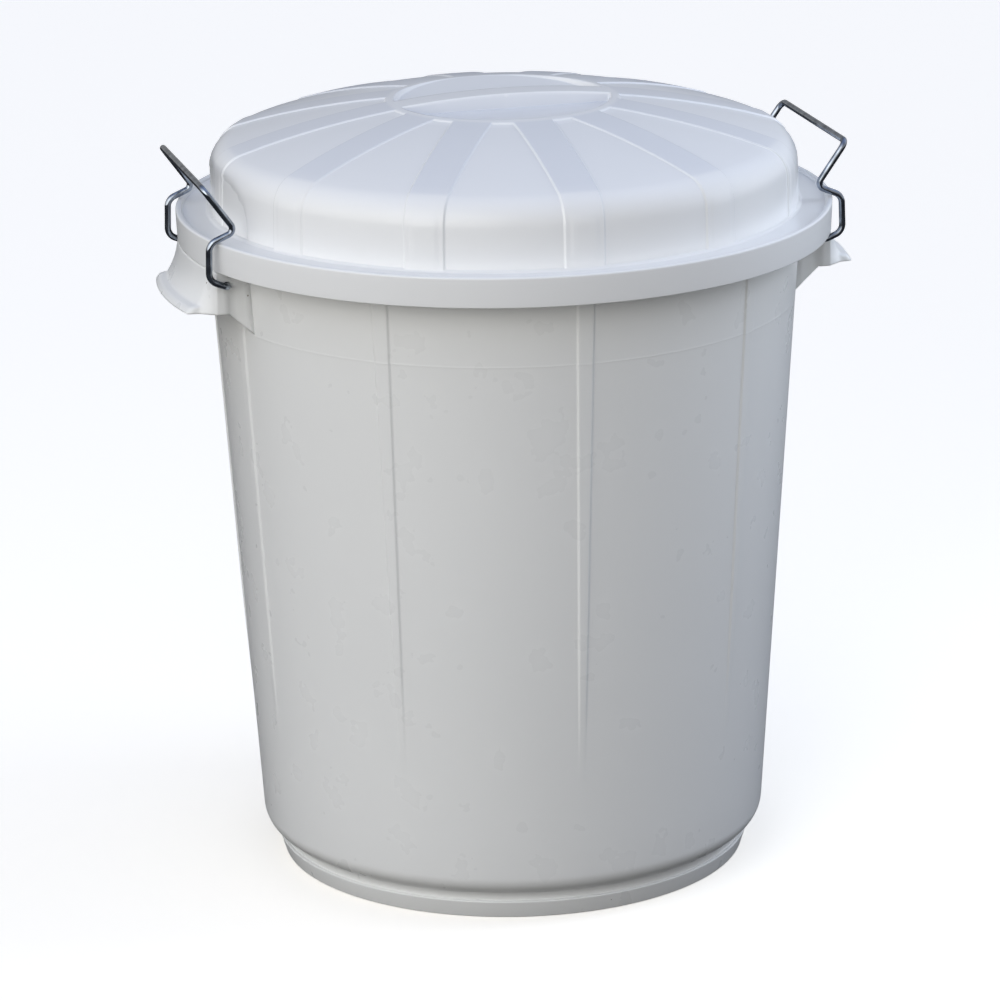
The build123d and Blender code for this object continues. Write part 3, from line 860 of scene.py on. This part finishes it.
FLOOR_HALF = 14.0
floor_mesh = bpy.data.meshes.new("floor")
floor_corners = [(x * FLOOR_HALF, y * FLOOR_HALF, 0) for x, y in ((-1, -1), (1, -1), (1, 1), (-1, 1))]
floor_mesh.from_pydata(floor_corners, [], [(0, 1, 2, 3)])
floor = bpy.data.objects.new("floor", floor_mesh)
bpy.context.scene.collection.objects.link(floor)
floor_paint = bpy.data.materials.new("floor_paint")
floor_paint.use_nodes = True
paint = floor_paint.node_tree
paint_shader = paint.nodes["Principled BSDF"]
socket(paint_shader, "Roughness", 0.8)
socket(paint_shader, "Specular IOR Level", 0.1)
paint_ray = paint.nodes.new("ShaderNodeLightPath")
paint_mix = paint.nodes.new("ShaderNodeMix")
paint_mix.data_type = "RGBA"
socket(paint_mix, 6, (0.05, 0.05, 0.05, 1))
socket(paint_mix, 7, (0.94, 0.90, 0.82, 1))
paint.links.new(paint_ray.outputs["Is Camera Ray"], paint_mix.inputs[0])
paint_lift = paint.nodes.new("ShaderNodeMath")
paint_lift.operation = "MULTIPLY"
socket(paint_lift, 1, 0.35)
paint.links.new(paint_ray.outputs["Is Camera Ray"], paint_lift.inputs[0])
paint.links.new(paint_mix.outputs[2], paint_shader.inputs["Base Color"])
socket(paint_shader, "Emission Color", (1, 1, 1, 1))
paint.links.new(paint_lift.outputs["Value"], paint_shader.inputs["Emission Strength"])
floor_mesh.materials.append(floor_paint)

SKY_LEVEL = (1.02, 1.00, 0.96, 1)
SKY_OVERHEAD = (0.33, 0.41, 0.61, 1)
COOL_SIDE = (0.28, 0.32, 0.43, 1)
WARM_SIDE = (0.54, 0.52, 0.46, 1)
SEEN_SKY = (0.96, 0.96, 0.96, 1)
world = bpy.data.worlds.new("surround")
bpy.context.scene.world = world
world.use_nodes = True
sky = world.node_tree
look = sky.nodes.new("ShaderNodeTexCoord").outputs["Generated"]
is_seen = sky.nodes.new("ShaderNodeLightPath").outputs["Is Camera Ray"]


def compass(turn, rise):
    """Direction at a number of degrees from the front, to the right, and above the horizon."""
    turn, rise = math.radians(turn), math.radians(rise)
    return (math.sin(turn) * math.cos(rise), -math.cos(turn) * math.cos(rise), math.sin(rise))


def sky_patch(direction, start, low, high):
    """A soft round patch of the sky: low outside it, and high in the middle."""
    dot = sky.nodes.new("ShaderNodeVectorMath")
    dot.operation = "DOT_PRODUCT"
    socket(dot, 1, direction)
    share = sky.nodes.new("ShaderNodeMapRange")
    share.interpolation_type = "SMOOTHSTEP" if start > -1 else "LINEAR"
    socket(share, "From Min", start)
    socket(share, "To Min", low)
    socket(share, "To Max", high)
    sky.links.new(look, dot.inputs[0])
    sky.links.new(dot.outputs["Value"], share.inputs["Value"])
    return share.outputs["Result"]


def sky_mix(share, first, second, blend="MIX"):
    """Mixes two colours of the sky; each is a plain colour or another node's output."""
    mix = sky.nodes.new("ShaderNodeMix")
    mix.data_type = "RGBA"
    mix.blend_type = blend
    for slot, value in ((0, share), (6, first), (7, second)):
        if isinstance(value, bpy.types.NodeSocket):
            sky.links.new(value, mix.inputs[slot])
        else:
            socket(mix, slot, value)
    return mix.outputs[2]


overhead = sky_patch((0, 0, 1), 0.05, 0, 1)
colour = sky_mix(overhead, SKY_LEVEL, SKY_OVERHEAD)
colour = sky_mix(sky_patch(compass(98, 18), 0.35, 0, 1), colour, COOL_SIDE, "ADD")
colour = sky_mix(sky_patch(compass(-44, 6), 0.25, 0, 1), colour, WARM_SIDE, "ADD")
strength = 1.0
for direction, start, low, high in (
    (compass(-53, 12), -1.0, 0.66, 1.40),
    (compass(24, 0), 0.15, 1.0, 0.44),
    (compass(-172, 5), 0.1, 1.0, 0.46),
):
    step = sky.nodes.new("ShaderNodeMath")
    step.operation = "MULTIPLY"
    sky.links.new(sky_patch(direction, start, low, high), step.inputs[0])
    if isinstance(strength, float):
        socket(step, 1, strength)
    else:
        sky.links.new(strength, step.inputs[1])
    strength = step.outputs["Value"]
shaded = sky.nodes.new("ShaderNodeVectorMath")
shaded.operation = "SCALE"
sky.links.new(colour, shaded.inputs[0])
sky.links.new(strength, shaded.inputs["Scale"])
seen = sky_mix(is_seen, shaded.outputs["Vector"], SEEN_SKY)
sky.links.new(seen, sky.nodes["Background"].inputs["Color"])


def soft_light(name, place, aim, width, height, power, colour):
    """A rectangular area light that points at a place."""
    light = bpy.data.lights.new(name, "AREA")
    light.shape = "RECTANGLE"
    light.size = width
    light.size_y = height
    light.energy = power
    light.color = colour
    lamp = bpy.data.objects.new(name, light)
    lamp.location = place
    lamp.rotation_mode = "QUATERNION"
    lamp.rotation_quaternion = (Vector(aim) - Vector(place)).to_track_quat("-Z", "Y")
    bpy.context.scene.collection.objects.link(lamp)
    return lamp


soft_light("window", (-1.15, -1.45, 1.15), (0, 0, 0.45), 1.5, 1.5, 7.6, (1.0, 0.98, 0.94))
cool_lamp = soft_light("cool_side", (0.80, -0.16, 0.66), (0.22, 0, 0.42), 0.5, 0.5, 2.9, (0.84, 0.91, 1.0))
cool_lamp.visible_glossy = False

CAMERA_TURN = math.radians(-15)
CAMERA_DISTANCE = 3.4179
CAMERA_HEIGHT = 1.2773
camera_data = bpy.data.cameras.new("camera")
camera_data.sensor_width = 36
camera_data.lens = 180
camera = bpy.data.objects.new("camera", camera_data)
bpy.context.scene.collection.objects.link(camera)
CAMERA_SWING = math.radians(0.10)
CAMERA_DIP = math.radians(16.67)
CAMERA_ROLL = math.radians(-0.90)
camera_x = math.sin(CAMERA_TURN) * CAMERA_DISTANCE
camera_y = -math.cos(CAMERA_TURN) * CAMERA_DISTANCE
stand = (camera_x, camera_y, CAMERA_HEIGHT)
heading = Matrix.Rotation(CAMERA_TURN + CAMERA_SWING, 4, "Z")
pitch = Matrix.Rotation(math.radians(90) - CAMERA_DIP, 4, "X")
roll = Matrix.Rotation(CAMERA_ROLL, 4, "Z")
camera.matrix_world = Matrix.Translation(stand) @ heading @ pitch @ roll
bpy.context.scene.camera = camera
bpy.context.scene.view_settings.view_transform = "Standard"
